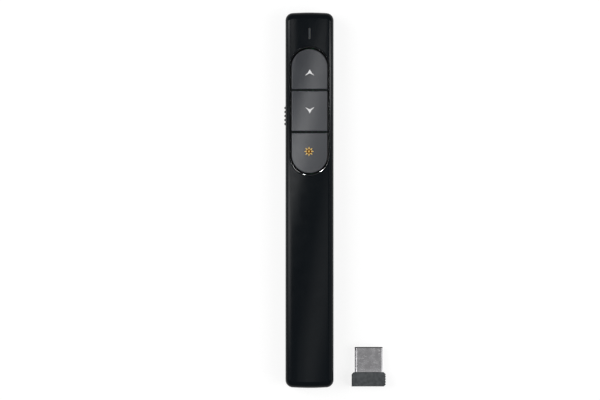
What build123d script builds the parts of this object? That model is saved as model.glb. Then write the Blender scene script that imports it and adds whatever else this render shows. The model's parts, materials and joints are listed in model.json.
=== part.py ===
from build123d import *
from math import atan2, degrees, sqrt
import os

# Wireless presentation clicker with its nano USB receiver beside it. Millimetres.
# The handset lies on its flat back: X runs across it, +Y points to the laser end,
# +Z comes out of the key face, and Z = 0 is the table.

# ---------------------------------------------------------------- driving dimensions

# Handset bar, whose length is the sum of what lies in it, and whose width goes round the dock
bar_thickness = 14.4
bar_end_bow = 0.45             # how far the middle of each end stands out
bar_corner_radius = 3.2        # corners of the outline, seen from above
bar_crown_radius = 90.0        # gentle crown across the key face
top_edge_radius = 2.6
back_edge_radius = 2.0
wall = 1.3
cavity_corner_chamfer = 1.6    # inside the corners of the outline
cavity_edge_chamfer = 0.8      # where the inside of the walls meets the inside of the roof
split_z = 5.4                  # height of the parting line between the two housings
parting_chamfer = 0.15
lip_height = 0.5               # a lip of the lower housing stands inside the upper one
lip_thickness = 0.55
lip_end_gap = 9.0              # from each end of the bar to the lips
lip_play = 0.08

# Keys, which share one stadium
key_field_length = 52.7
key_field_width = 15.2
key_field_rear_gap = 5.96      # from the board's rear edge to the keys
key_field_front_gap = 15.74    # from the keys to the front end
key_split_gap = 0.85           # between two keys
key_gap = 0.65                 # between the keys and the rim
key_proud = 0.25               # keys stand this far above the crown
key_edge_chamfer = 0.2         # round the crowned top of each key
key_wall = 1.5
key_hollow_width = 7.0         # narrow enough for the round ends of the outer keys
key_travel = 0.4
key_flange_lap = 0.4           # how far the flange reaches under the frame
key_flange_thickness = 0.8
key_flange_play = 0.1
key_post_size = 2.4
key_frame_depth = 2.6          # from the top of the crown to the underside of the frame
key_frame_width = 1.0
key_rim_chamfer = 0.8          # at the ends of the stadium, from the top of the crown
divider_play = 0.2             # each side of the bars between two keys
divider_drop = 1.3             # from the top of the crown to the top of these bars

# Circuit board and tact switches
board_thickness = 1.0
board_top_z = 7.0
board_side_gap = 1.15          # to the side walls
board_front_gap = 4.0          # to the front end
board_rear_gap = 0.2           # to the upper boss of the front screw
board_rib_thickness = 1.0
board_rib_gap = 3.9            # from the notch for the laser to the front rib
tact_size = 6.0
tact_height = 3.5
tact_plunger_diameter = 3.4
tact_plunger_entry = 0.4       # how deep the plunger stands in the switch at rest
plunger_side_play = 0.1
plunger_end_play = 0.3

# Power slider and its switch
slider_offset = 1.96           # from the middle of the keys, towards the tail
slider_z = 7.6
slider_length = 8.1
slider_height = 3.4
slider_proud = 0.5
slider_ridge_count = 5
slider_ridge_pitch = 1.71
slider_ridge_radius = 0.6
slider_travel = 2.0
slider_play = 0.15
slider_flange_thickness = 0.7
slider_flange_lap = 0.9
switch_length = 8.6
switch_width = 3.0
switch_height = 3.0
lever_size = 1.2
lever_play = 0.1
lever_root = 0.6               # part of the lever that stands inside the switch

# Indicator light
slit_front_gap = 9.05          # from the middle of the slit to the front end
slit_length = 4.7
slit_width = 0.75
slit_play = 0.05
slit_recess = 0.05
pipe_arm_length = 5.7          # from the slit to the middle of the LED
pipe_arm_width = 3.0
pipe_arm_height = 1.0
pipe_arm_drop = 1.8            # from the top of the crown to the top of the arm
pipe_foot_width = 1.6
led_size = (1.6, 3.0, 1.0)
led_gap = 0.2

# Laser module
laser_z = 7.2
laser_diameter = 6.2
laser_length = 10.5
laser_front_gap = 2.3          # to the front end
laser_bore_diameter = 4.2
laser_bore_depth = 3.0
laser_lens_diameter = 4.0
laser_lens_thickness = 1.4
laser_board_thickness = 0.8
laser_board_size = 5.0
laser_notch_play = 0.5
laser_saddle_reach = 5.7       # from the front of the barrel
laser_saddle_play = 0.05
window_diameter = 5.0
window_thickness = 0.6
window_recess = 0.2
window_play = 0.1
laser_port_diameter = 4.2

# Battery, size AAA
battery_diameter = 10.3
battery_can_length = 43.7
battery_cap_diameter = 3.8
battery_cap_length = 0.8
battery_axis_z = 7.0
battery_side_play = 0.3
battery_box_wall = 1.0
bulkhead_top_z = 7.0
contact_thickness = 0.3
contact_width = 9.0
contact_bottom_z = 2.7
contact_top_z = 9.7
spring_length = 7.8
spring_diameter = 6.6
spring_wire = 0.65
spring_turns = 2
strip_reach = 7.5              # from the centre line to the outer face of the negative strip
strip_height = 2.0
strip_lift = 0.2               # over the wall of the battery box
strip_notch_play = 0.3         # in front of the board's rear edge
tab_width = 1.4
tab_x = 3.7
tab_lap = 2.5                  # how far both contacts' tabs lie on the board

# Battery door
door_front_lap = 6.7           # past the battery box, over the front screw
door_width = 12.0
door_thickness = 1.3
door_tongue = 0.8              # how far the tongue reaches into its groove
door_tongue_thickness = 0.55
door_side_play = 0.15
door_lift_play = 0.1
deck_thickness = 1.0
grip_groove_count = 6
grip_groove_pitch = 1.8
grip_groove_width = 0.8
grip_groove_length = 9.0
grip_groove_depth = 0.35
grip_groove_reach = 13.0       # from the door's front end to the middle of the grooves

# Housing screws, one each side of the battery
screw_gap = 3.9                # from each end of the battery box to its screw
boss_gap = 0.1                 # from the lower boss of the rear screw to the dock's magnet
screw_diameter = 1.9
screw_length = 8.0
screw_head_diameter = 3.4
screw_head_height = 1.3
screw_play = 0.05
screw_head_play = 0.2
boss_diameter_upper = 4.4
boss_diameter_lower = 5.6
screw_slot_width = 0.6
screw_slot_depth = 0.6

# Receiver, and the dock in the tail that stores it
plug_width = 12.0
plug_height = 4.5
plug_length = 10.75            # bare part of the plug
plug_wall = 0.3
plug_corner_radius = 0.9
plug_seat = 4.0                # part of the plug inside the grip
receiver_grip_width = 14.5
receiver_grip_length = 5.95
receiver_grip_height = 6.1
grip_front_chamfer = 0.9
grip_rear_chamfer = 0.7
grip_edge_chamfer = 0.3
grip_pocket_play = 0.05
serration_count = 4            # down one side of the grip
serration_pitch = 1.15
serration_width = 0.5
serration_depth = 0.25
receiver_x = 25.3
receiver_tail_gap = 6.14       # from the bar's tail to where the plug meets the grip
tongue_thickness = 1.9
tongue_recess = 0.5
contact_pad_width = 1.0
contact_pad_pitch = 2.3
contact_pad_length = 7.5
contact_pad_thickness = 0.1
receiver_chip_size = (4.0, 3.0, 0.9)
dock_play = 0.2
dock_depth_play = 0.5
dock_wall = 0.9
dock_cover = 1.55              # floor and roof of the dock round the grip's pocket
dock_side_gap = 0.6            # to the side walls
dock_end_gap = 2.0             # from the tail face to the dock piece
dock_corner_chamfer = 0.8
magnet_size = (8.0, 1.5, 4.0)

# Chips under the board, each group below one of the switches
chip_size = (6.0, 6.0, 1.0)
crystal_size = (5.0, 3.2, 1.2)
capacitor_size = (1.6, 0.8, 0.8)
capacitor_pitch = 3.0
capacitor_rows = 2
capacitor_columns = 3

# ---------------------------------------------------------------- derived places

# Along the bar everything follows from the tail: the dock and its magnet, a screw, the battery
# in its box, the other screw, and the board under the keys.
receiver_depth = receiver_grip_length + plug_length
dock_depth = receiver_depth + dock_depth_play
rear_screw_reach = dock_depth + dock_wall + magnet_size[1] + boss_gap + boss_diameter_lower / 2
box_reach = rear_screw_reach + screw_gap
battery_reach = box_reach + contact_thickness + spring_length
box_end_reach = battery_reach + battery_can_length + battery_cap_length + contact_thickness
board_reach = box_end_reach + screw_gap + boss_diameter_upper / 2 + board_rear_gap
bar_length = board_reach + key_field_rear_gap + key_field_length + key_field_front_gap

dock_outer_width = receiver_grip_width + 2 * (dock_play + dock_wall)
dock_outer_height = receiver_grip_height + 2 * (dock_play + dock_cover)
bar_width = dock_outer_width + 2 * (dock_side_gap + wall)
board_width = bar_width - 2 * (wall + board_side_gap)

front_y = bar_length / 2
tail_y = -bar_length / 2
side_x = bar_width / 2
dock_front_y = tail_y + dock_depth
box_rear_y = tail_y + box_reach
battery_rear_y = tail_y + battery_reach
battery_can_front_y = battery_rear_y + battery_can_length
battery_front_y = battery_can_front_y + battery_cap_length
box_front_y = tail_y + box_end_reach
screw_rows = (box_front_y + screw_gap, box_rear_y - screw_gap)
board_rear_y = tail_y + board_reach
board_front_y = front_y - board_front_gap
key_field_y = board_rear_y + key_field_rear_gap + key_field_length / 2
slider_y = key_field_y - slider_offset
slit_y = front_y - slit_front_gap
laser_front_y = front_y - laser_front_gap
laser_saddle_y = laser_front_y - laser_saddle_reach
notch_rear_y = laser_front_y - laser_length - laser_board_thickness - laser_notch_play
door_front_y = box_front_y + door_front_lap
grip_groove_y = door_front_y - grip_groove_reach
receiver_y = tail_y + receiver_tail_gap

roof_z = bar_thickness - wall
key_length = (key_field_length - 2 * key_split_gap) / 3
key_pitch = key_length + key_split_gap
key_rows = [key_field_y + row * key_pitch for row in (-1, 0, 1)]
board_rib_rows = [row - key_pitch / 2 for row in key_rows] + [notch_rear_y - board_rib_gap]
key_frame_z = bar_thickness - key_frame_depth
key_flange_top = key_frame_z - key_flange_play
key_flange_bottom = key_flange_top - key_flange_thickness
board_bottom_z = board_top_z - board_thickness
tact_top_z = board_top_z + tact_height
plunger_bottom_z = tact_top_z - tact_plunger_entry
plunger_top_z = key_frame_z
deck_z = door_thickness + door_lift_play
deck_top_z = deck_z + deck_thickness
box_inner_half = battery_diameter / 2 + battery_side_play
dock_z = bar_thickness / 2
step_height = (receiver_grip_height - plug_height) / 2


def crown_disc(inset):
    """Sketch the disc across the handset whose top follows the crown of the key face."""
    with BuildSketch(Plane.XZ) as disc:
        with Locations((0, bar_thickness - bar_crown_radius)):
            Circle(bar_crown_radius - inset)
    return disc.sketch


def crown_drop(x):
    """How far the key face lies under the top of its crown, at a distance from the middle."""
    return bar_crown_radius - sqrt(bar_crown_radius**2 - x**2)


def key_stadium(grow):
    """Sketch the stadium that the three keys share, grown by a margin."""
    with Locations((0, key_field_y)):
        SlotOverall(key_field_length + 2 * grow, key_field_width + 2 * grow, rotation=90)


def cut_laser_port():
    """Cut the stepped port for the laser window through the front wall of a housing."""
    with BuildSketch(Plane.XZ.offset(-front_y)) as seat:
        with Locations((0, laser_z)):
            Circle(window_diameter / 2 + window_play)
    extrude(seat.sketch, amount=window_recess + window_thickness, both=True, mode=Mode.SUBTRACT)
    with BuildSketch(Plane.XZ.offset(-front_y)) as port:
        with Locations((0, laser_z)):
            Circle(laser_port_diameter / 2)
    extrude(port.sketch, amount=2 * wall, mode=Mode.SUBTRACT)


def cut_dock_mouth():
    """Cut the mouth of the receiver's dock through the tail wall of a housing."""
    with BuildSketch(Plane.XZ.offset(-tail_y)) as mouth:
        with Locations((0, dock_z)):
            Rectangle(receiver_grip_width + 2 * dock_play, receiver_grip_height + 2 * dock_play)
    extrude(mouth.sketch, amount=dock_end_gap, both=True, mode=Mode.SUBTRACT)


def cut_slider_slot():
    """Cut the slot for the power slider in the left wall of a housing."""
    with BuildSketch(Plane.YZ.offset(-side_x)) as slot:
        with Locations((slider_y + slider_travel / 2, slider_z)):
            Rectangle(
                slider_length + slider_travel + 2 * slider_play, slider_height + 2 * slider_play
            )
    extrude(slot.sketch, amount=2 * wall, both=True, mode=Mode.SUBTRACT)


def lip_plan(play):
    """Sketch the two lips that join the housings along their sides, grown by a play."""
    lip_x = side_x - wall + lip_thickness / 2
    with BuildSketch(Plane.XY.offset(split_z)) as lips:
        with GridLocations(2 * lip_x, 0, 2, 1):
            Rectangle(lip_thickness + 2 * play, bar_length - 2 * lip_end_gap + 2 * play)
    return lips.sketch


def chamfer_parting_edge():
    """Break the outer edge of a housing at the parting line."""
    parting_face = faces().filter_by(Plane.XY).filter_by_position(Axis.Z, split_z - 0.01, split_z + 0.01)[0]
    chamfer(parting_face.outer_wire().edges(), parting_chamfer)


os.makedirs("parts", exist_ok=True)

# ---------------------------------------------------------------- form and cavity of the handset

with BuildPart() as bar_form:
    with BuildSketch(Plane.XY) as bar_plan:
        with BuildLine():
            corner_y = front_y - bar_end_bow
            ThreePointArc((-side_x, -corner_y), (0, tail_y), (side_x, -corner_y))
            Line((side_x, -corner_y), (side_x, corner_y))
            ThreePointArc((side_x, corner_y), (0, front_y), (-side_x, corner_y))
            Line((-side_x, corner_y), (-side_x, -corner_y))
        make_face()
        fillet(bar_plan.vertices(), bar_corner_radius)
    extrude(amount=bar_thickness)
    extrude(crown_disc(0), amount=bar_length, both=True, mode=Mode.INTERSECT)
    fillet(bar_form.faces().sort_by(Axis.Z)[-1].edges(), top_edge_radius)
    fillet(bar_form.faces().sort_by(Axis.Z)[0].edges(), back_edge_radius)

# The walls lean in before they meet the roof, so that the rounded edge outside keeps its wall.
cavity_edge_x = side_x - wall
cavity_edge_z = roof_z - crown_drop(cavity_edge_x) - cavity_edge_chamfer
with BuildPart() as bar_cavity:
    for level, height, lean in ((wall, cavity_edge_z - wall, 0), (cavity_edge_z, 2 * wall, 45)):
        with BuildSketch(Plane.XY.offset(level)) as cavity_plan:
            Rectangle(2 * cavity_edge_x, bar_length - 2 * wall)
            chamfer(cavity_plan.vertices(), cavity_corner_chamfer)
        extrude(amount=height, taper=lean)
    extrude(crown_disc(wall), amount=bar_length, both=True, mode=Mode.INTERSECT)

# ---------------------------------------------------------------- upper housing

with BuildPart() as upper_housing:
    add(bar_form.part)
    add(bar_cavity.part, mode=Mode.SUBTRACT)
    split(bisect_by=Plane.XY.offset(split_z), keep=Keep.TOP)
    chamfer_parting_edge()
    extrude(lip_plan(lip_play), amount=lip_height + lip_play, mode=Mode.SUBTRACT)
    # A frame thickens the roof round the keys and stops their flanges.
    with BuildSketch(Plane.XY.offset(key_frame_z)):
        key_stadium(key_gap + key_frame_width)
    extrude(amount=key_frame_depth)
    add(bar_form.part, mode=Mode.INTERSECT)
    with BuildSketch(Plane.XY.offset(key_frame_z)):
        key_stadium(key_gap)
    extrude(amount=bar_thickness, mode=Mode.SUBTRACT)
    with BuildSketch(Plane.XY.offset(bar_thickness)):
        key_stadium(key_gap + key_rim_chamfer)
    extrude(amount=-key_rim_chamfer, taper=45, mode=Mode.SUBTRACT)
    # Bars across the frame close the gaps between the keys from below.
    with BuildSketch(Plane.XY.offset(key_frame_z)):
        with Locations((0, key_field_y)):
            with GridLocations(0, key_pitch, 1, 2):
                Rectangle(
                    key_field_width + 2 * key_gap + key_frame_width, key_split_gap - 2 * divider_play
                )
    extrude(amount=key_frame_depth - divider_drop)
    # Screw bosses hang from the roof.
    with BuildSketch(Plane.XY.offset(split_z)):
        with Locations(*[(0, row) for row in screw_rows]):
            Circle(boss_diameter_upper / 2)
            Circle(screw_diameter / 2 + screw_play, mode=Mode.SUBTRACT)
    extrude(amount=roof_z + wall / 2 - split_z)
    # Slit for the indicator light.
    with BuildSketch(Plane.XY.offset(roof_z - wall)):
        with Locations((0, slit_y)):
            SlotOverall(slit_length + 2 * slit_play, slit_width + 2 * slit_play, rotation=90)
    extrude(amount=3 * wall, mode=Mode.SUBTRACT)
    cut_slider_slot()
    cut_laser_port()
    cut_dock_mouth()
upper_housing.part.label = "upper_housing"
export_step(upper_housing.part, "parts/upper_housing.step")

# ---------------------------------------------------------------- lower housing

with BuildPart() as lower_housing:
    add(bar_form.part)
    add(bar_cavity.part, mode=Mode.SUBTRACT)
    split(bisect_by=Plane.XY.offset(split_z), keep=Keep.BOTTOM)
    chamfer_parting_edge()
    extrude(lip_plan(0), amount=lip_height)
    # The deck over the battery door, which also roofs the door's grooves.
    deck_front_y = door_front_y + deck_thickness
    with BuildSketch(Plane.XY.offset(wall / 2)):
        with Locations((0, (tail_y + deck_front_y) / 2)):
            Rectangle(bar_width - wall, deck_front_y - tail_y)
    extrude(amount=deck_top_z - wall / 2)
    add(bar_form.part, mode=Mode.INTERSECT)
    # Battery box, with a bulkhead at each end.
    box_length = box_front_y - box_rear_y
    box_middle_y = (box_front_y + box_rear_y) / 2
    with BuildSketch(Plane.XY.offset(deck_z)):
        with Locations((0, box_middle_y)):
            Rectangle(2 * (box_inner_half + battery_box_wall), box_length)
    extrude(amount=split_z - deck_z)
    with BuildSketch(Plane.XY.offset(deck_z)):
        for bulkhead_y in (
            box_front_y + battery_box_wall / 2,
            box_rear_y - battery_box_wall / 2,
        ):
            with Locations((0, bulkhead_y)):
                Rectangle(2 * (box_inner_half + battery_box_wall), battery_box_wall)
    extrude(amount=bulkhead_top_z - deck_z)
    with BuildSketch(Plane.XY):
        with Locations((0, box_middle_y)):
            Rectangle(2 * box_inner_half, box_length)
    extrude(amount=split_z, mode=Mode.SUBTRACT)
    # Screw bosses stand on the deck and on the floor in front of it.
    with BuildSketch(Plane.XY.offset(deck_z)):
        with Locations(*[(0, row) for row in screw_rows]):
            Circle(boss_diameter_lower / 2)
    extrude(amount=split_z - deck_z)
    with BuildSketch(Plane.XY):
        with Locations(*[(0, row) for row in screw_rows]):
            Circle(screw_diameter / 2 + screw_play)
    extrude(amount=split_z, mode=Mode.SUBTRACT)
    with BuildSketch(Plane.XY):
        with Locations(*[(0, row) for row in screw_rows]):
            Circle((screw_head_diameter + screw_head_play) / 2)
    extrude(amount=deck_z + screw_head_height + screw_head_play, mode=Mode.SUBTRACT)
    # Recess and grooves for the battery door, open at the tail.
    door_length = door_front_y - tail_y
    recess_length = door_length + door_side_play
    with BuildSketch(Plane.XY):
        with Locations((0, tail_y)):
            Rectangle(door_width + 2 * door_side_play, 2 * recess_length)
    extrude(amount=deck_z, mode=Mode.SUBTRACT)
    with BuildSketch(Plane.XY.offset(deck_z)):
        with Locations((0, tail_y)):
            Rectangle(door_width + 2 * (door_tongue + door_side_play), 2 * recess_length)
    extrude(amount=-(door_tongue_thickness + 2 * door_lift_play), mode=Mode.SUBTRACT)
    # Ribs carry the circuit board.
    with BuildSketch(Plane.XY.offset(wall / 2)):
        for rib_y in board_rib_rows:
            with Locations((0, rib_y)):
                Rectangle(board_width - wall, board_rib_thickness)
    extrude(amount=board_bottom_z - wall / 2)
    # The saddle under the laser barrel.
    with BuildSketch(Plane.XZ.offset(-laser_saddle_y)):
        with Locations((0, (wall / 2 + split_z) / 2)):
            Rectangle(laser_diameter + 2 * wall, split_z - wall / 2)
        with Locations((0, laser_z)):
            Circle(laser_diameter / 2 + laser_saddle_play, mode=Mode.SUBTRACT)
    extrude(amount=board_rib_thickness, both=True)
    cut_slider_slot()
    cut_laser_port()
    cut_dock_mouth()
lower_housing.part.label = "lower_housing"
export_step(lower_housing.part, "parts/lower_housing.step")

# ---------------------------------------------------------------- battery door

with BuildPart() as battery_door:
    with BuildSketch(Plane.XY):
        with Locations((0, (door_front_y + tail_y) / 2)):
            Rectangle(door_width, door_length)
    extrude(amount=door_thickness)
    with BuildSketch(Plane.XY.offset(door_thickness)):
        with Locations((0, (door_front_y + tail_y) / 2)):
            Rectangle(door_width + 2 * door_tongue, door_length)
    extrude(amount=-door_tongue_thickness)
    add(bar_form.part, mode=Mode.INTERSECT)
    # Finger grooves near the front end.
    with BuildSketch(Plane.XY):
        with Locations((0, grip_groove_y)):
            with GridLocations(0, grip_groove_pitch, 1, grip_groove_count):
                Rectangle(grip_groove_length, grip_groove_width)
    extrude(amount=grip_groove_depth, mode=Mode.SUBTRACT)
battery_door.part.label = "battery_door"
export_step(battery_door.part, "parts/battery_door.step")

# ---------------------------------------------------------------- keys and their plungers

def key_outline(key_y, grow):
    """Sketch one key's share of the stadium, grown outwards by a margin."""
    key_stadium(grow)
    with Locations((0, key_y)):
        Rectangle(bar_width, key_length, mode=Mode.INTERSECT)


for key_name, key_y in zip(("laser", "page_down", "page_up"), key_rows):
    with BuildPart() as key:
        with BuildSketch(Plane.XY.offset(key_flange_bottom)):
            key_outline(key_y, 0)
        extrude(amount=bar_thickness + key_wall - key_flange_bottom)
        extrude(crown_disc(-key_proud), amount=bar_length, both=True, mode=Mode.INTERSECT)
        chamfer(key.faces().sort_by(Axis.Z)[-1].edges(), length=key_edge_chamfer)
        # The flange that holds the key under the frame.
        with BuildSketch(Plane.XY.offset(key_flange_bottom)):
            key_outline(key_y, key_gap + key_flange_lap)
        extrude(amount=key_flange_thickness)
        # Hollow underside, with a post over the switch.
        with BuildSketch(Plane.XY.offset(key_flange_bottom)):
            with Locations((0, key_y)):
                Rectangle(key_hollow_width, key_length - 2 * key_wall)
        extrude(amount=roof_z - key_flange_bottom, mode=Mode.SUBTRACT)
        with BuildSketch(Plane.XY.offset(plunger_top_z)):
            with Locations((0, key_y)):
                Rectangle(key_post_size, key_post_size)
        extrude(amount=bar_thickness - wall / 2 - plunger_top_z)
    key.part.label = key_name + "_key"
    export_step(key.part, "parts/" + key_name + "_key.step")

    with BuildPart() as plunger:
        with BuildSketch(Plane.XY.offset(plunger_bottom_z)):
            with Locations((0, key_y)):
                Circle(tact_plunger_diameter / 2)
        extrude(amount=plunger_top_z - plunger_bottom_z)
    plunger.part.label = key_name + "_plunger"
    export_step(plunger.part, "parts/" + key_name + "_plunger.step")

# ---------------------------------------------------------------- circuit board and what it carries

with BuildPart() as tact_switch_bodies:
    with BuildSketch(Plane.XY.offset(board_top_z)):
        with Locations(*[(0, row) for row in key_rows]):
            Rectangle(tact_size, tact_size)
    extrude(amount=tact_height)
    with BuildSketch(Plane.XY.offset(tact_top_z)):
        with Locations(*[(0, row) for row in key_rows]):
            Circle(tact_plunger_diameter / 2 + plunger_side_play)
    extrude(amount=-(tact_plunger_entry + key_travel + plunger_end_play), mode=Mode.SUBTRACT)
tact_switch_bodies.part.label = "tact_switch_bodies"
export_step(tact_switch_bodies.part, "parts/tact_switch_bodies.step")

with BuildPart() as main_circuit_board:
    with BuildSketch(Plane.XY.offset(board_bottom_z)):
        with Locations((0, (board_front_y + board_rear_y) / 2)):
            Rectangle(board_width, board_front_y - board_rear_y)
        with Locations((0, board_front_y)):
            Rectangle(
                laser_diameter + 2 * laser_notch_play,
                2 * (board_front_y - notch_rear_y),
                mode=Mode.SUBTRACT,
            )
    extrude(amount=board_thickness)
main_circuit_board.part.label = "main_circuit_board"
export_step(main_circuit_board.part, "parts/main_circuit_board.step")

with BuildPart() as controller_chip:
    with BuildSketch(Plane.XY.offset(board_bottom_z)):
        with Locations((0, key_rows[1])):
            Rectangle(chip_size[0], chip_size[1])
    extrude(amount=-chip_size[2])
controller_chip.part.label = "controller_chip"
export_step(controller_chip.part, "parts/controller_chip.step")

with BuildPart() as crystal_can:
    with BuildSketch(Plane.XY.offset(board_bottom_z)):
        with Locations((0, key_rows[2])):
            SlotOverall(crystal_size[0], crystal_size[1])
    extrude(amount=-crystal_size[2])
crystal_can.part.label = "crystal_can"
export_step(crystal_can.part, "parts/crystal_can.step")

with BuildPart() as capacitors:
    with BuildSketch(Plane.XY.offset(board_bottom_z)):
        with Locations((0, key_rows[0])):
            with GridLocations(capacitor_pitch, capacitor_pitch, capacitor_columns, capacitor_rows):
                Rectangle(capacitor_size[0], capacitor_size[1])
    extrude(amount=-capacitor_size[2])
capacitors.part.label = "capacitors"
export_step(capacitors.part, "parts/capacitors.step")

# ---------------------------------------------------------------- power slider and slide switch

flange_outer_x = side_x - wall - slider_play
flange_inner_x = flange_outer_x - slider_flange_thickness
flange_length = slider_length + slider_travel + 2 * (slider_play + slider_flange_lap)
switch_face_x = flange_inner_x - lever_size
lever_z = board_top_z + switch_height / 2

with BuildPart() as power_slider:
    with BuildSketch(Plane.XY.offset(slider_z - slider_height / 2)):
        with Locations((-(flange_outer_x + side_x) / 2, slider_y)):
            Rectangle(side_x - flange_outer_x, slider_length)
        with Locations((-(side_x + slider_proud - slider_ridge_radius), slider_y)):
            with GridLocations(0, slider_ridge_pitch, 1, slider_ridge_count):
                Circle(slider_ridge_radius)
    extrude(amount=slider_height)
    # The flange behind the wall covers the slot over the whole travel.
    with BuildSketch(Plane.YZ.offset(-flange_outer_x)):
        with Locations((slider_y, slider_z)):
            Rectangle(flange_length + slider_travel, slider_height + 2 * slider_flange_lap)
    extrude(amount=slider_flange_thickness)
    # A socket takes the switch's lever.
    with BuildSketch(Plane.YZ.offset(-flange_inner_x)):
        with Locations((slider_y, lever_z)):
            Rectangle(lever_size + 2 * lever_play, lever_size + 2 * lever_play)
    extrude(amount=-slider_flange_thickness, mode=Mode.SUBTRACT)
power_slider.part.label = "power_slider"
export_step(power_slider.part, "parts/power_slider.step")

with BuildPart() as slide_switch_body:
    with BuildSketch(Plane.XY.offset(board_top_z)):
        with Locations((-(switch_face_x - switch_width / 2), slider_y + slider_travel / 2)):
            Rectangle(switch_width, switch_length)
    extrude(amount=switch_height)
    with BuildSketch(Plane.YZ.offset(-switch_face_x)):
        with Locations((slider_y + slider_travel / 2, lever_z)):
            Rectangle(lever_size + slider_travel + 2 * lever_play, lever_size + 2 * lever_play)
    extrude(amount=lever_root + lever_play, mode=Mode.SUBTRACT)
slide_switch_body.part.label = "slide_switch_body"
export_step(slide_switch_body.part, "parts/slide_switch_body.step")

with BuildPart() as slide_switch_lever:
    with BuildSketch(Plane.YZ.offset(-(flange_outer_x - lever_play))):
        with Locations((slider_y, lever_z)):
            Rectangle(lever_size, lever_size)
    extrude(amount=flange_outer_x - lever_play - switch_face_x + lever_root)
slide_switch_lever.part.label = "slide_switch_lever"
export_step(slide_switch_lever.part, "parts/slide_switch_lever.step")

# ---------------------------------------------------------------- indicator light

arm_top_z = bar_thickness - pipe_arm_drop
arm_bottom_z = arm_top_z - pipe_arm_height
led_top_z = board_top_z + led_size[2]
foot_outer_x = pipe_arm_length + pipe_foot_width / 2
with BuildPart() as indicator_light_pipe:
    with BuildSketch(Plane.XY.offset(arm_bottom_z)):
        with Locations((0, slit_y)):
            SlotOverall(slit_length, slit_width, rotation=90)
    extrude(amount=bar_thickness - slit_recess - arm_bottom_z)
    with BuildSketch(Plane.XZ.offset(-slit_y)):
        with BuildLine():
            Polyline(
                (slit_width / 2, arm_bottom_z),
                (slit_width / 2, arm_top_z),
                (-(foot_outer_x - pipe_foot_width / 2), arm_top_z),
                (-foot_outer_x, arm_top_z - pipe_foot_width / 2),
                (-foot_outer_x, led_top_z + led_gap),
                (-(foot_outer_x - pipe_foot_width), led_top_z + led_gap),
                (-(foot_outer_x - pipe_foot_width), arm_bottom_z),
                (slit_width / 2, arm_bottom_z),
            )
        make_face()
    extrude(amount=pipe_arm_width / 2, both=True)
indicator_light_pipe.part.label = "indicator_light_pipe"
export_step(indicator_light_pipe.part, "parts/indicator_light_pipe.step")

with BuildPart() as indicator_led:
    with BuildSketch(Plane.XY.offset(board_top_z)):
        with Locations((-pipe_arm_length, slit_y)):
            Rectangle(led_size[0], led_size[1])
    extrude(amount=led_size[2])
indicator_led.part.label = "indicator_led"
export_step(indicator_led.part, "parts/indicator_led.step")

# ---------------------------------------------------------------- laser module

with BuildPart() as laser_barrel:
    with BuildSketch(Plane.XZ.offset(-laser_front_y)):
        with Locations((0, laser_z)):
            Circle(laser_diameter / 2)
    extrude(amount=laser_length)
    with BuildSketch(Plane.XZ.offset(-laser_front_y)):
        with Locations((0, laser_z)):
            Circle(laser_bore_diameter / 2)
    extrude(amount=laser_bore_depth, mode=Mode.SUBTRACT)
laser_barrel.part.label = "laser_barrel"
export_step(laser_barrel.part, "parts/laser_barrel.step")

with BuildPart() as laser_lens:
    with BuildSketch(Plane.XZ.offset(-(laser_front_y - laser_bore_depth))):
        with Locations((0, laser_z)):
            Circle(laser_lens_diameter / 2)
    extrude(amount=-laser_lens_thickness)
laser_lens.part.label = "laser_lens"
export_step(laser_lens.part, "parts/laser_lens.step")

with BuildPart() as laser_driver_board:
    with BuildSketch(Plane.XZ.offset(-(laser_front_y - laser_length))):
        with Locations((0, laser_z)):
            Rectangle(laser_board_size, laser_board_size)
    extrude(amount=laser_board_thickness)
laser_driver_board.part.label = "laser_driver_board"
export_step(laser_driver_board.part, "parts/laser_driver_board.step")

with BuildPart() as laser_window:
    with BuildSketch(Plane.XZ.offset(-(front_y - window_recess))):
        with Locations((0, laser_z)):
            Circle(window_diameter / 2)
    extrude(amount=window_thickness)
laser_window.part.label = "laser_window"
export_step(laser_window.part, "parts/laser_window.step")

# ---------------------------------------------------------------- battery and contacts

with BuildPart() as battery_can:
    with BuildSketch(Plane.XZ.offset(-battery_can_front_y)):
        with Locations((0, battery_axis_z)):
            Circle(battery_diameter / 2)
    extrude(amount=battery_can_length)
battery_can.part.label = "battery_can"
export_step(battery_can.part, "parts/battery_can.step")

with BuildPart() as battery_positive_cap:
    with BuildSketch(Plane.XZ.offset(-battery_front_y)):
        with Locations((0, battery_axis_z)):
            Circle(battery_cap_diameter / 2)
    extrude(amount=battery_cap_length)
battery_positive_cap.part.label = "battery_positive_cap"
export_step(battery_positive_cap.part, "parts/battery_positive_cap.step")

contact_height = contact_top_z - contact_bottom_z
contact_middle_z = (contact_top_z + contact_bottom_z) / 2
with BuildPart() as battery_positive_contact:
    with BuildSketch(Plane.XZ.offset(-box_front_y)):
        with Locations((0, contact_middle_z)):
            Rectangle(contact_width, contact_height)
    extrude(amount=contact_thickness)
    # The tab runs over the bulkhead to the board.
    with BuildSketch(Plane.XY.offset(board_top_z)):
        with Locations((tab_x, (battery_front_y + board_rear_y + tab_lap) / 2)):
            Rectangle(tab_width, board_rear_y + tab_lap - battery_front_y)
    extrude(amount=contact_thickness)
battery_positive_contact.part.label = "battery_positive_contact"
export_step(battery_positive_contact.part, "parts/battery_positive_contact.step")

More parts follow.
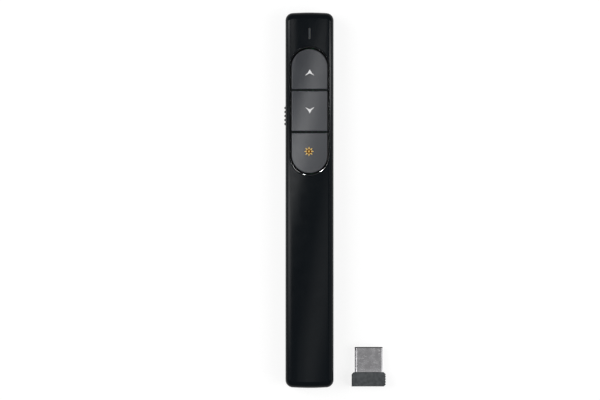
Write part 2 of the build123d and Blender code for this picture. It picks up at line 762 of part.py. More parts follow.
strip_bottom_z = split_z + strip_lift
strip_top_z = strip_bottom_z + strip_height
with BuildPart() as battery_negative_contact:
    with BuildSketch(Plane.XZ.offset(-box_rear_y)):
        with Locations((0, contact_middle_z)):
            Rectangle(contact_width, contact_height)
        with Locations((strip_reach / 2, strip_bottom_z + strip_height / 2)):
            Rectangle(strip_reach, strip_height)
    extrude(amount=-contact_thickness)
    # The strip runs past the battery and ends on top of the board.
    with BuildSketch(Plane.YZ.offset(strip_reach)):
        with BuildLine():
            Polyline(
                (box_rear_y, strip_bottom_z),
                (board_rear_y - strip_notch_play, strip_bottom_z),
                (board_rear_y - strip_notch_play, board_top_z),
                (board_rear_y + tab_lap, board_top_z),
                (board_rear_y + tab_lap, strip_top_z),
                (box_rear_y, strip_top_z),
                close=True,
            )
        make_face()
    extrude(amount=-contact_thickness)
battery_negative_contact.part.label = "battery_negative_contact"
export_step(battery_negative_contact.part, "parts/battery_negative_contact.step")

with BuildPart() as battery_spring:
    with BuildLine() as coil:
        Helix(
            pitch=(spring_length - spring_wire) / spring_turns,
            height=spring_length - spring_wire,
            radius=(spring_diameter - spring_wire) / 2,
            center=(0, battery_rear_y - spring_wire / 2, battery_axis_z),
            direction=(0, -1, 0),
        )
    with BuildSketch(Plane(origin=coil.line @ 0, z_dir=coil.line % 0)):
        RegularPolygon(spring_wire / 2, 4)
    sweep(is_frenet=True)
battery_spring.part.label = "battery_spring"
export_step(battery_spring.part, "parts/battery_spring.step")

# ---------------------------------------------------------------- housing screws

with BuildPart() as housing_screws:
    with BuildSketch(Plane.XY.offset(deck_z)):
        with Locations(*[(0, row) for row in screw_rows]):
            Circle(screw_head_diameter / 2)
    extrude(amount=screw_head_height)
    with BuildSketch(Plane.XY.offset(deck_z)):
        with Locations(*[(0, row) for row in screw_rows]):
            Circle(screw_diameter / 2)
    extrude(amount=screw_head_height + screw_length)
    with BuildSketch(Plane.XY.offset(deck_z)):
        for turn in (0, 90):
            with Locations(*[(0, row) for row in screw_rows]):
                Rectangle(screw_diameter, screw_slot_width, rotation=turn)
    extrude(amount=screw_slot_depth, mode=Mode.SUBTRACT)
housing_screws.part.label = "housing_screws"
export_step(housing_screws.part, "parts/housing_screws.step")

# ---------------------------------------------------------------- dock in the tail

dock_rear_y = tail_y + dock_end_gap
with BuildPart() as receiver_dock:
    with BuildSketch(Plane.XY.offset(dock_z - dock_outer_height / 2)) as dock_plan:
        with Locations((0, (dock_rear_y + dock_front_y + dock_wall) / 2)):
            Rectangle(dock_outer_width, dock_front_y + dock_wall - dock_rear_y)
        chamfer(dock_plan.vertices(), dock_corner_chamfer)
    extrude(amount=dock_outer_height)
    # Mouth for the grip, then a narrower pocket for the plug.
    with BuildSketch(Plane.XZ.offset(-tail_y)):
        with Locations((0, dock_z)):
            Rectangle(receiver_grip_width + 2 * dock_play, receiver_grip_height + 2 * dock_play)
    extrude(amount=-(receiver_grip_length + dock_depth_play), mode=Mode.SUBTRACT)
    with BuildSketch(Plane.XZ.offset(-tail_y)):
        with Locations((0, dock_z)):
            Rectangle(plug_width + 2 * dock_play, plug_height + 2 * dock_play)
    extrude(amount=-(receiver_depth + dock_depth_play), mode=Mode.SUBTRACT)
receiver_dock.part.label = "receiver_dock"
export_step(receiver_dock.part, "parts/receiver_dock.step")

with BuildPart() as dock_magnet:
    with BuildSketch(Plane.XZ.offset(-(dock_front_y + dock_wall))):
        with Locations((0, dock_z)):
            Rectangle(magnet_size[0], magnet_size[2])
    extrude(amount=-magnet_size[1])
dock_magnet.part.label = "dock_magnet"
export_step(dock_magnet.part, "parts/dock_magnet.step")

# ---------------------------------------------------------------- nano USB receiver

# It lies on the lower edge of its grip and on the tip of its plug, so it tilts a little.
tilt = atan2(step_height, plug_length)
receiver_plane = Plane(origin=(receiver_x, receiver_y, 0)).rotated((-degrees(tilt), 0, 0))
plug_middle = receiver_grip_height / 2


def plug_section(reach):
    """Plane across the plug, at a reach from the grip's face, with its centre on the plug's."""
    centre = receiver_plane.from_local_coords(Vector(0, reach, plug_middle))
    return Plane(origin=centre, x_dir=receiver_plane.x_dir, z_dir=receiver_plane.y_dir)


with BuildPart() as receiver_grip:
    with BuildSketch(receiver_plane) as grip_plan:
        with Locations((0, -receiver_grip_length / 2)):
            Rectangle(receiver_grip_width, receiver_grip_length)
        corners = grip_plan.vertices()
        chamfer(corners.group_by(Axis.Y)[-1], grip_front_chamfer)
        rear_corners = grip_plan.vertices().group_by(Axis.Y)[0]
        chamfer(rear_corners.sort_by(Axis.X)[-1], grip_rear_chamfer)
    extrude(amount=receiver_grip_height)
    chamfer(receiver_grip.faces().sort_by(Axis.Z)[-1].edges(), grip_edge_chamfer)
    # Serrations down the right side.
    with BuildSketch(receiver_plane):
        with Locations((receiver_grip_width / 2, -receiver_grip_length / 2)):
            with GridLocations(0, serration_pitch, 1, serration_count):
                Rectangle(2 * serration_depth, serration_width)
    extrude(amount=receiver_grip_height, mode=Mode.SUBTRACT)
    with BuildSketch(plug_section(0)) as grip_pocket:
        Rectangle(plug_width + 2 * grip_pocket_play, plug_height + 2 * grip_pocket_play)
        fillet(grip_pocket.vertices(), plug_corner_radius + grip_pocket_play)
    extrude(amount=-plug_seat, mode=Mode.SUBTRACT)
receiver_grip.part.label = "receiver_grip"
export_step(receiver_grip.part, "parts/receiver_grip.step")

with BuildPart() as receiver_plug_shell:
    with BuildSketch(plug_section(-plug_seat)) as shell_section:
        Rectangle(plug_width, plug_height)
        fillet(shell_section.vertices(), plug_corner_radius)
        offset(amount=-plug_wall, mode=Mode.SUBTRACT)
    extrude(amount=plug_seat + plug_length)
receiver_plug_shell.part.label = "receiver_plug_shell"
export_step(receiver_plug_shell.part, "parts/receiver_plug_shell.step")

tongue_width = plug_width - 2 * plug_corner_radius - plug_wall
tongue_top = plug_height / 2 - plug_wall
with BuildPart() as receiver_board:
    with BuildSketch(plug_section(-plug_seat)):
        with Locations((0, -(tongue_top - tongue_thickness / 2))):
            Rectangle(tongue_width, tongue_thickness)
    extrude(amount=plug_seat + plug_length - tongue_recess)
receiver_board.part.label = "receiver_board"
export_step(receiver_board.part, "parts/receiver_board.step")

pad_top = tongue_top - tongue_thickness
with BuildPart() as receiver_contacts:
    with BuildSketch(plug_section(plug_length - 2 * tongue_recess)):
        with Locations((0, -(pad_top - contact_pad_thickness / 2))):
            with GridLocations(contact_pad_pitch, 0, 4, 1):
                Rectangle(contact_pad_width, contact_pad_thickness)
    extrude(amount=-contact_pad_length)
receiver_contacts.part.label = "receiver_contacts"
export_step(receiver_contacts.part, "parts/receiver_contacts.step")

with BuildPart() as receiver_chip:
    with BuildSketch(plug_section(-plug_seat)):
        with Locations((0, -(pad_top - receiver_chip_size[2] / 2))):
            Rectangle(receiver_chip_size[0], receiver_chip_size[2])
    extrude(amount=receiver_chip_size[1])
receiver_chip.part.label = "receiver_chip"
export_step(receiver_chip.part, "parts/receiver_chip.step")
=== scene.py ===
"""Looks of a wireless presentation clicker and its nano USB receiver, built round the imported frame.

The handset lies on its back along Y, its laser end at +Y, and the receiver lies beside its tail.
Everything is in metres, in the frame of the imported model.
"""

import json
import logging
import math
from dataclasses import dataclass, field
from enum import Enum
from functools import cached_property
from typing import Callable, ClassVar, Optional, Sequence, Union

import bmesh
import bpy
from mathutils import Matrix, Vector

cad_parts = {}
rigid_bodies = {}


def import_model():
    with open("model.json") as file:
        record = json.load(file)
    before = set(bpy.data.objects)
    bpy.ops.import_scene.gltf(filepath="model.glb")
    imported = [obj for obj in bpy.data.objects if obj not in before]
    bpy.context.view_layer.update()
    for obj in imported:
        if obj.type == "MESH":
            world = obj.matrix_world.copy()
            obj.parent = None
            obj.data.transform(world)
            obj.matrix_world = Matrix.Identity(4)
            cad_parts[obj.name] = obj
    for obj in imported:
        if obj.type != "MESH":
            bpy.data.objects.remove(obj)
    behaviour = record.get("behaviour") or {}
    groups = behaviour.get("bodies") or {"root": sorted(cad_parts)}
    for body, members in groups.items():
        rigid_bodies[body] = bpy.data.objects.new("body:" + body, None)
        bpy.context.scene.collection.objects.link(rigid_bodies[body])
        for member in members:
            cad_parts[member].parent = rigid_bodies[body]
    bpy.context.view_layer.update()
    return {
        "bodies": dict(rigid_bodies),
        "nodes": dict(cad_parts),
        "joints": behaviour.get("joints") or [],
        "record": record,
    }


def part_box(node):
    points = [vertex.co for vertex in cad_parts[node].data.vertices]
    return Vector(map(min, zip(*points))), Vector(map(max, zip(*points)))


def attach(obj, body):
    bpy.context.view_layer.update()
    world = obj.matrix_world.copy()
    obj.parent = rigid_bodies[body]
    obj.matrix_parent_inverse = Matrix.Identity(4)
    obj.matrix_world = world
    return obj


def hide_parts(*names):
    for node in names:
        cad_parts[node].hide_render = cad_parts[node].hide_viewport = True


LOG = logging.getLogger("clicker")

MM = 0.001
Rgb = tuple[float, float, float]
Span = tuple[float, float]
Point = tuple[float, float]
Place = tuple[float, float, float]
Socket = bpy.types.NodeSocket
Material = bpy.types.Material
Mesh = bmesh.types.BMesh
Ring = Sequence[bmesh.types.BMVert]
Value = Union[Socket, float, Sequence[float]]

FACE_PIECE = ("upper_housing",)
RIM_PIECE = ("key_rim",)
KEY_PIECES = ("page_up_key", "page_down_key", "laser_key")
PLUG_PIECE = ("receiver_plug_shell",)
SHELL_PIECES = FACE_PIECE + ("lower_housing", "power_slider")
HANDSET_PIECES = SHELL_PIECES + KEY_PIECES


def linear(value: int) -> float:
    """Turn one display value into its linear share of light."""
    share = value / 255
    return share / 12.92 if share <= 0.04045 else ((share + 0.055) / 1.055) ** 2.4


def srgb(red: int, green: int, blue: int) -> Rgb:
    """Turn display values from 0 to 255 into the linear colour that a shader takes."""
    return linear(red), linear(green), linear(blue)


def rgba(colour: Rgb, factor: float = 1.0) -> tuple[float, float, float, float]:
    """Give a linear colour its alpha, made lighter or darker by a factor."""
    return colour[0] * factor, colour[1] * factor, colour[2] * factor, 1.0


# ---- shader building

EVEN: Place = (1.0, 1.0, 1.0)
MIDDLE: Span = (0.3, 0.7)  # the range of noise that is spread out for marks with clear borders
EDGE_SAMPLES = 4
EDGE_AGREEMENT: Span = (0.995, 0.9)  # of rounded normal and face, where an edge starts and peaks
MIX_INPUTS = (0, 6, 7)  # the share and the two colours, in a mix node that is set to colours
MIX_RESULT = 2
SHADER_INPUTS = {
    "metallic": "Metallic",
    "specular": "Specular IOR Level",
    "ior": "IOR",
    "transmission": "Transmission Weight",
    "coat": "Coat Weight",
    "coat_roughness": "Coat Roughness",
}


@dataclass(frozen=True)
class Grain:
    """Soft noise for one kind of mark, and the relief that the marks leave.

    The scale is in cells a metre, the detail in octaves of finer noise, and the stretch is an extra
    scale along each axis. A range to spread out gives the marks clearer borders.
    """

    scale: float
    detail: float = 3.0
    stretch: Place = EVEN
    between: Optional[Span] = None
    depth: float = 0.0
    strength: float = 0.0


class NodeSheet:
    """A node tree, with short calls that add its nodes and join them."""

    def __init__(self, tree: bpy.types.NodeTree) -> None:
        """Take a node tree."""
        self.tree = tree

    def add(self, kind: str, inputs: Optional[dict] = None, **settings: object) -> bpy.types.Node:
        """Add a node.

        Args:
            kind: The node's type.
            inputs: Input name or number to a constant or to another node's output.
            **settings: The node's own properties.

        Returns:
            The new node.
        """
        node = self.tree.nodes.new(kind)
        for name, setting in settings.items():
            setattr(node, name, setting)
        for name, value in (inputs or {}).items():
            self.feed(node.inputs[name], value)
        return node

    def feed(self, socket: Socket, value: Value) -> None:
        """Set an input to a constant, or join it to an output.

        Args:
            socket: The input.
            value: The constant or the output.
        """
        if isinstance(value, Socket):
            self.tree.links.new(value, socket)
        else:
            socket.default_value = value

    def span(
        self, value: Value, low: float, high: float, first: float = 0, last: float = 1, **how: str
    ) -> Socket:
        """Map a range of values onto another, held at its ends."""
        ends = {"Value": value, "From Min": low, "From Max": high, "To Min": first, "To Max": last}
        return self.add("ShaderNodeMapRange", ends, **how).outputs["Result"]

    def part(self, axis: str, place: Socket) -> Socket:
        """Give the X, Y or Z of a place."""
        return self.add("ShaderNodeSeparateXYZ", {"Vector": place}).outputs[axis]


class ShaderSheet(NodeSheet):
    """A material's node tree."""

    def __init__(self, name: str) -> None:
        """Start an empty material.

        Args:
            name: The material's name.
        """
        self.material = bpy.data.materials.new(name)
        self.material.use_nodes = True
        super().__init__(self.material.node_tree)
        self.tree.nodes.clear()
        self.output = self.add("ShaderNodeOutputMaterial")

    def place(self, stretch: Place = EVEN) -> Socket:
        """Give the point on the piece in its own frame, scaled along each axis."""
        point = self.add("ShaderNodeTexCoord").outputs["Object"]
        return self.add("ShaderNodeMapping", {"Vector": point, "Scale": stretch}).outputs[0]

    def along(self, axis: str) -> Socket:
        """Give how far the point lies along X, Y or Z."""
        return self.part(axis, self.place())

    def grain(self, grain: Grain) -> Socket:
        """Add the noise of one kind of mark.

        Args:
            grain: The marks.

        Returns:
            The noise, from 0 to 1.
        """
        inputs = {"Vector": self.place(grain.stretch), "Scale": grain.scale, "Detail": grain.detail}
        noise = self.add("ShaderNodeTexNoise", inputs).outputs["Fac"]
        return self.span(noise, *grain.between) if grain.between else noise

    def vary(self, share: Value, middle: float, spread: float, between: Span = (0, 1)) -> Socket:
        """Run a value from below its middle to above it by a share."""
        return self.span(share, *between, middle - spread, middle + spread)

    def math(self, operation: str, first: Value, second: Value = 0.0) -> Socket:
        """Work out one arithmetic step."""
        return self.add("ShaderNodeMath", {0: first, 1: second}, operation=operation).outputs[0]

    def blend(self, share: Value, first: Value, second: Value) -> Socket:
        """Mix two colours by a share."""
        inputs = dict(zip(MIX_INPUTS, (share, first, second)))
        return self.add("ShaderNodeMix", inputs, data_type="RGBA").outputs[MIX_RESULT]

    def shades(self, share: Value, colour: Rgb, tones: Span) -> Socket:
        """Mix two shades of a colour by a share."""
        return self.blend(share, rgba(colour, tones[0]), rgba(colour, tones[1]))

    def rounded(self, radius: float) -> Socket:
        """Give a normal that rounds the edges within a radius."""
        bevel = self.add("ShaderNodeBevel", {"Radius": radius}, samples=EDGE_SAMPLES)
        return bevel.outputs["Normal"]

    def edges(self, rounded: Socket) -> Socket:
        """Find how near an edge each point lies.

        Args:
            rounded: The normal with rounded edges.

        Returns:
            A mask, 0 on open faces and 1 on the edges.
        """
        inputs = {0: rounded, 1: self.add("ShaderNodeNewGeometry").outputs["Normal"]}
        agreement = self.add("ShaderNodeVectorMath", inputs, operation="DOT_PRODUCT")
        return self.span(agreement.outputs["Value"], *EDGE_AGREEMENT)

    def relief(self, height: Value, grain: Grain, normal: Optional[Socket] = None) -> Socket:
        """Turn heights into a bumped normal.

        Args:
            height: Heights from 0 to 1.
            grain: The marks whose depth and strength it takes.
            normal: The normal to start from.

        Returns:
            The bumped normal.
        """
        inputs: dict = {"Height": height, "Distance": grain.depth, "Strength": grain.strength}
        if normal is not None:
            inputs["Normal"] = normal
        return self.add("ShaderNodeBump", inputs).outputs["Normal"]

    def finish(self, colour: Value, roughness: Value, normal: Socket, **others: Value) -> Material:
        """Close the tree with a principled shader.

        Args:
            colour: Its colour.
            roughness: Its roughness.
            normal: Its normal.
            **others: More of its inputs, by their names in SHADER_INPUTS.

        Returns:
            The finished material.
        """
        inputs = {"Base Color": colour, "Roughness": roughness, "Normal": normal}
        inputs.update({SHADER_INPUTS[name]: value for name, value in others.items()})
        shader = self.add("ShaderNodeBsdfPrincipled", inputs)
        self.feed(self.output.inputs["Surface"], shader.outputs["BSDF"])
        return self.material


# ---- finishes


def moulded_grain(strength: float) -> Grain:
    """Give the grain that a spark-eroded mould leaves, more or less polished away."""
    return Grain(5200.0, depth=0.012 * MM, strength=strength)


@dataclass(frozen=True)
class MouldedPlastic:
    """Injection-moulded plastic with a spark-eroded grain, and edges recoloured in patches: lighter
    edges are partly rubbing and partly a painted highlight, darker ones a painted shade.
    """

    name: str
    colour: Rgb
    roughness: float
    ior: float = 1.5
    grain: Grain = moulded_grain(0.35)
    edge_radius: float = 0.22 * MM
    # edge colour factor: above 1 partly rubbing and partly a painted highlight, below 1 a painted
    # shade
    edge_wear_and_painted_light: float = 1.35
    edge_patches: Grain = Grain(700.0, 2.0)
    edge_patches_least: float = 0.4
    cloud: float = 0.08
    clouds: Grain = Grain(45.0, between=MIDDLE)
    gloss_patches: Grain = Grain(260.0)
    gloss_range: Span = (0.25, 0.75)
    gloss_spread: float = 0.02

    def build(self) -> Material:
        """Make the material.

        Returns:
            The finished material.
        """
        sheet = ShaderSheet(self.name)
        rounded = sheet.rounded(self.edge_radius)
        patches = sheet.grain(self.gloss_patches)
        gloss = sheet.vary(patches, self.roughness, self.gloss_spread, self.gloss_range)
        colour, roughness = self.coat(sheet, self.tone(sheet, rounded), gloss)
        normal = sheet.relief(sheet.grain(self.grain), self.grain, rounded)
        return sheet.finish(colour, roughness, normal, ior=self.ior)

    def tone(self, sheet: ShaderSheet, rounded: Socket) -> Socket:
        """Mix the plastic's colour: clouds in the melt, and edges recoloured in patches, partly
        rubbing and partly painted light: a painted highlight where they go lighter, a painted shade
        where they go darker.

        Args:
            sheet: The material's node tree.
            rounded: The normal with rounded edges.

        Returns:
            The colour.
        """
        clouds = sheet.grain(self.clouds)
        melt = sheet.shades(clouds, self.colour, (1 - self.cloud, 1 + self.cloud))
        # The edge mask paints light: lighter edges stand in for highlights, darker ones for shade,
        # broken up in patches.
        edge_patchiness = sheet.span(sheet.grain(self.edge_patches), *MIDDLE, self.edge_patches_least, 1.0)
        retoned = sheet.math("MULTIPLY", sheet.edges(rounded), edge_patchiness)
        return sheet.blend(retoned, melt, rgba(self.colour, self.edge_wear_and_painted_light))

    def coat(self, _sheet: ShaderSheet, colour: Socket, roughness: Socket) -> tuple[Socket, Socket]:
        """Leave the plastic bare."""
        return colour, roughness


@dataclass(frozen=True)
class LacqueredCap(MouldedPlastic):
    """A key's finish: grey lacquer on the cap, and a painted shade below the cap's edge: the flange
    goes near-black and matt, standing in for the shade in the gaps round the keys.
    """

    painted_shade_z: float = 13.95 * MM
    painted_shade_fade: float = 0.12 * MM
    painted_shade_colour: Rgb = srgb(5, 5, 6)
    below_cap_roughness: float = 0.75

    def coat(self, sheet: ShaderSheet, colour: Socket, roughness: Socket) -> tuple[Socket, Socket]:
        """Stop the lacquer at a height, and paint shade below it.

        Args:
            sheet: The material's node tree.
            colour: The lacquer's colour.
            roughness: The lacquer's roughness.

        Returns:
            The colour and the roughness from the cap down to the flange.
        """
        # Below the lacquer's edge the key is painted near-black: a painted shade for the gaps between
        # keys and round the aperture.
        above_painted_shade = sheet.span(sheet.along("Z"), self.painted_shade_z - self.painted_shade_fade, self.painted_shade_z)
        bare = sheet.span(above_painted_shade, 0.0, 1.0, self.below_cap_roughness, 0.0)
        coloured = sheet.blend(above_painted_shade, rgba(self.painted_shade_colour), colour)
        return coloured, sheet.math("MAXIMUM", roughness, bare)


@dataclass(frozen=True)
class PlatedSteel:
    """Stamped steel with a bright plating, drawn one way, with faint scuffs.

    A folded shell can also have a painted dark reflection along its mouth, and a stretch that grows
    lighter towards its root.
    """

    name: str
    colour: Rgb
    roughness: float
    draw: Grain = Grain(3800.0, 4.0, (1.0, 0.06, 1.0), depth=0.004 * MM, strength=0.25)
    smears: Grain = Grain(420.0, 5.0, (1.0, 0.7, 1.0), (0.42, 0.66))
    smear_strength: float = 0.5
    nicks: Grain = Grain(1500.0, 4.0, (0.35, 1.0, 1.0))
    nick_range: Span = (0.6, 0.68)
    scuff_share: float = 0.5
    scuff_tone: float = 0.8
    scuff_roughness: float = 0.16
    edge_radius: float = 0.12 * MM
    lip_y: Optional[float] = None
    lip_fade: float = 0.03 * MM
    lip_painted_dark_tone: float = 0.01
    root_y: Optional[float] = None
    root_length: float = 2.2 * MM
    root_tone: float = 1.4

    def build(self) -> Material:
        """Make the material.

        Returns:
            The finished material.
        """
        sheet = ShaderSheet(self.name)
        marks = self.scuffs(sheet)
        colour = sheet.shades(marks, self.colour, (1.0, self.scuff_tone))
        # The shell grows lighter towards its root.
        if self.root_y is not None:
            end_y = self.root_y + self.root_length
            near = sheet.span(sheet.along("Y"), self.root_y, end_y, 1.0, 0.0)
            retoned = sheet.math("MULTIPLY", near, near)
            colour = sheet.blend(retoned, colour, rgba(self.colour, self.root_tone))
        # A painted dark reflection: the mouth's edge goes almost black.
        if self.lip_y is not None:
            painted_dark_lip = sheet.span(sheet.along("Y"), self.lip_y, self.lip_y + self.lip_fade)
            colour = sheet.blend(painted_dark_lip, colour, rgba(self.colour, self.lip_painted_dark_tone))
        scuffed = self.roughness + self.scuff_roughness
        roughness = sheet.span(marks, 0.0, 1.0, self.roughness, scuffed)
        normal = sheet.relief(sheet.grain(self.draw), self.draw, sheet.rounded(self.edge_radius))
        return sheet.finish(colour, roughness, normal, metallic=1.0)

    def scuffs(self, sheet: ShaderSheet) -> Socket:
        """Scatter soft smears and sharper nicks.

        Args:
            sheet: The material's node tree.

        Returns:
            How scuffed each point is, from 0 to 1.
        """
        strength = self.smear_strength * self.scuff_share
        smears = sheet.math("MULTIPLY", sheet.grain(self.smears), strength)
        nicks = sheet.span(sheet.grain(self.nicks), *self.nick_range, 0.0, self.scuff_share)
        return sheet.math("MAXIMUM", smears, nicks)


@dataclass(frozen=True)
class MottledFace:
    """A face whose shade, gloss and height all follow one fine mottle."""

    name: str
    colour: Rgb
    roughness: float = 0.5
    roughness_spread: float = 0.05
    tones: Span = (0.94, 1.0)
    mottle: Grain = Grain(2600.0, between=MIDDLE, depth=0.004 * MM, strength=0.3)
    specular: float = 0.3

    def build(self) -> Material:
        """Make the material.

        Returns:
            The finished material.
        """
        sheet = ShaderSheet(self.name)
        spots = sheet.grain(self.mottle)
        colour = sheet.shades(spots, self.colour, self.tones)
        normal = sheet.relief(spots, self.mottle)
        roughness = sheet.vary(spots, self.roughness, self.roughness_spread)
        return sheet.finish(colour, roughness, normal, specular=self.specular)


@dataclass(frozen=True)
class PrintedInk(MottledFace):
    """A pad-printed mark: thick opaque ink."""


@dataclass(frozen=True)
class SmokedResin(MottledFace):
    """Smoke-tinted translucent resin, as in a light pipe."""

    roughness: float = 0.35
    tones: Span = (0.9, 1.1)
    mottle: Grain = Grain(900.0, between=MIDDLE, depth=0.005 * MM, strength=0.2)
    specular: float = 0.4


@dataclass(frozen=True)
class FiredCeramic(MottledFace):
    """Small fired or cast components with a dull speckled face."""

    roughness: float = 0.6
    roughness_spread: float = 0.06
    tones: Span = (0.85, 1.15)
    mottle: Grain = Grain(5200.0, 2.0, between=(0.35, 0.65), depth=0.006 * MM, strength=0.3)
    specular: float = 0.4


@dataclass(frozen=True)
class ClearOptic:
    """Clear moulded acrylic or glass with the faintest polishing marks."""

    name: str
    tint: Rgb
    ior: float = 1.49
    clearness: float = 0.92
    wipes: Grain = Grain(1400.0, 4.0, (1.0, 1.0, 0.3), (0.3, 0.8), 0.002 * MM, 0.1)
    tones: Span = (1.0, 0.96)
    roughness: Span = (0.02, 0.07)

    def build(self) -> Material:
        """Make the material.

        Returns:
            The finished material.
        """
        sheet = ShaderSheet(self.name)
        wipes = sheet.grain(self.wipes)
        colour = sheet.shades(wipes, self.tint, self.tones)
        roughness = sheet.span(wipes, 0.0, 1.0, *self.roughness)
        normal = sheet.relief(wipes, self.wipes)
        return sheet.finish(colour, roughness, normal, ior=self.ior, transmission=self.clearness)


@dataclass(frozen=True)
class SolderMask:
    """Glass-fibre board under a green lacquer, with the weave and the tracks just showing."""

    name: str
    colour: Rgb
    track_pitch: float = 1.27 * MM
    track_scale: float = 0.16
    track_wander: float = 2.0
    track_range: Span = (0.72, 0.78)
    track_tone: float = 1.9
    weave: Grain = Grain(1900.0, 2.0, (1.0, 0.5, 1.0), depth=0.03 * MM, strength=0.4)
    weave_tones: Span = (0.85, 1.15)
    weave_height: float = 0.3
    roughness: Span = (0.28, 0.36)
    specular: float = 0.5

    def build(self) -> Material:
        """Make the material.

        Returns:
            The finished material.
        """
        sheet = ShaderSheet(self.name)
        inputs = {"Vector": sheet.place(), "Distortion": self.track_wander, "Detail": 1.0}
        inputs["Scale"] = self.track_scale / self.track_pitch
        runs = sheet.add("ShaderNodeTexWave", inputs, wave_type="BANDS", bands_direction="X")
        tracks = sheet.span(runs.outputs["Fac"], *self.track_range)
        weave = sheet.grain(self.weave)
        tone = sheet.shades(weave, self.colour, self.weave_tones)
        colour = sheet.blend(tracks, tone, rgba(self.colour, self.track_tone))
        height = sheet.math("ADD", tracks, sheet.math("MULTIPLY", weave, self.weave_height))
        normal = sheet.relief(height, self.weave)
        roughness = sheet.span(weave, *MIDDLE, *self.roughness)
        return sheet.finish(colour, roughness, normal, specular=self.specular)


@dataclass(frozen=True)
class CellJacket:
    """The shrunk film jacket of a dry cell: one plain colour, a band and a metallic gleam."""

    name: str
    body: Rgb
    band: Rgb
    band_y: float
    band_width: float
    band_fade: float = 0.05 * MM
    film: Grain = Grain(320.0, 4.0, (1.0, 0.25, 1.0), depth=0.02 * MM, strength=0.15)
    tones: Span = (0.9, 1.12)
    roughness: Span = (0.24, 0.32)
    metallic: float = 0.35
    coat: float = 0.6
    coat_roughness: float = 0.12

    def build(self) -> Material:
        """Make the material.

        Returns:
            The finished material.
        """
        sheet = ShaderSheet(self.name)
        ends = (self.band_y, self.band_y + self.band_width)
        past = [sheet.span(sheet.along("Y"), end, end + self.band_fade) for end in ends]
        film = sheet.grain(self.film)
        tone = sheet.shades(film, self.body, self.tones)
        colour = sheet.blend(sheet.math("SUBTRACT", *past), tone, rgba(self.band))
        roughness = sheet.span(film, *MIDDLE, *self.roughness)
        normal = sheet.relief(film, self.film)
        shine = {"metallic": self.metallic, "coat": self.coat}
        return sheet.finish(colour, roughness, normal, coat_roughness=self.coat_roughness, **shine)


# ---- the set of finishes


class Finish(Enum):
    """Every finish on the clicker."""

    HOUSING = MouldedPlastic(
        "housing_black", srgb(10, 15, 19), 0.1, 1.25, moulded_grain(0.04), edge_wear_and_painted_light=1.2
    )
    RIM = MouldedPlastic("polished_rim", srgb(4, 5, 6), 0.06, 1.8, moulded_grain(0.03), 0.02 * MM)
    # The keys' edges are lifted 2.6 times as a painted highlight, and their flanks below the cap are
    # painted shade.
    KEY = LacqueredCap("key_grey", srgb(51, 53, 57), 0.1, 1.5, moulded_grain(0.06), 0.3 * MM, 2.6)
    SLIDER = MouldedPlastic("slider_black", srgb(7, 8, 9), 0.5, 1.15)
    MOULDED = MouldedPlastic("moulded_black", srgb(26, 26, 27), 0.5, 1.4)
    # The grip's edges are darkened to 0.3 of its colour as a painted shade outline.
    RECEIVER = MouldedPlastic(
        "receiver_grey", srgb(80, 83, 85), 0.5, 1.35, Grain(2300.0, depth=0.05 * MM, strength=0.8),
        edge_radius=0.3 * MM, edge_wear_and_painted_light=0.3, cloud=0.26, clouds=Grain(720.0, between=MIDDLE),
    )
    # The plug's mouth is painted almost black as a dark reflection, and its shell grows lighter
    # towards its root.
    PLUG = PlatedSteel(
        "plug_steel", srgb(216, 215, 218), 0.14, scuff_share=1.0, scuff_tone=1.45,
        edge_radius=0.75 * MM, lip_y=-63.15 * MM, root_y=-73.3 * MM,
    )
    PLATED = PlatedSteel("plated_steel", srgb(205, 205, 200), 0.25)
    SCREW = PlatedSteel("screw_zinc", srgb(120, 120, 124), 0.35)
    MAGNET = PlatedSteel("magnet_nickel", srgb(200, 200, 198), 0.15)
    BRASS = PlatedSteel("barrel_brass", srgb(222, 186, 110), 0.28)
    GOLD = PlatedSteel("contact_gold", srgb(236, 196, 110), 0.2)
    BOARD = SolderMask("circuit_board", srgb(22, 86, 52))
    CAPACITOR = FiredCeramic("capacitor_tan", srgb(158, 126, 92))
    LIGHT_PIPE = SmokedResin("smoked_light_pipe", srgb(73, 76, 78))
    LED = SmokedResin("led_white", srgb(232, 232, 222), 0.2)
    OPTIC = ClearOptic("clear_lens", (0.86, 0.88, 0.9))
    CELL = CellJacket("battery_jacket", srgb(24, 40, 74), srgb(214, 214, 210), -9.5 * MM, 4.2 * MM)
    WHITE_INK = PrintedInk("white_ink", srgb(250, 250, 250))
    AMBER_INK = PrintedInk("amber_ink", srgb(250, 208, 112))
    ORANGE_INK = PrintedInk("orange_ink", srgb(104, 52, 0))

    @cached_property
    def material(self) -> Material:
        """Build the finish's material, once."""
        return self.value.build()


# ---- mesh building

SHARP_ANGLE = math.radians(40)  # faces that meet at more than this keep a sharp edge


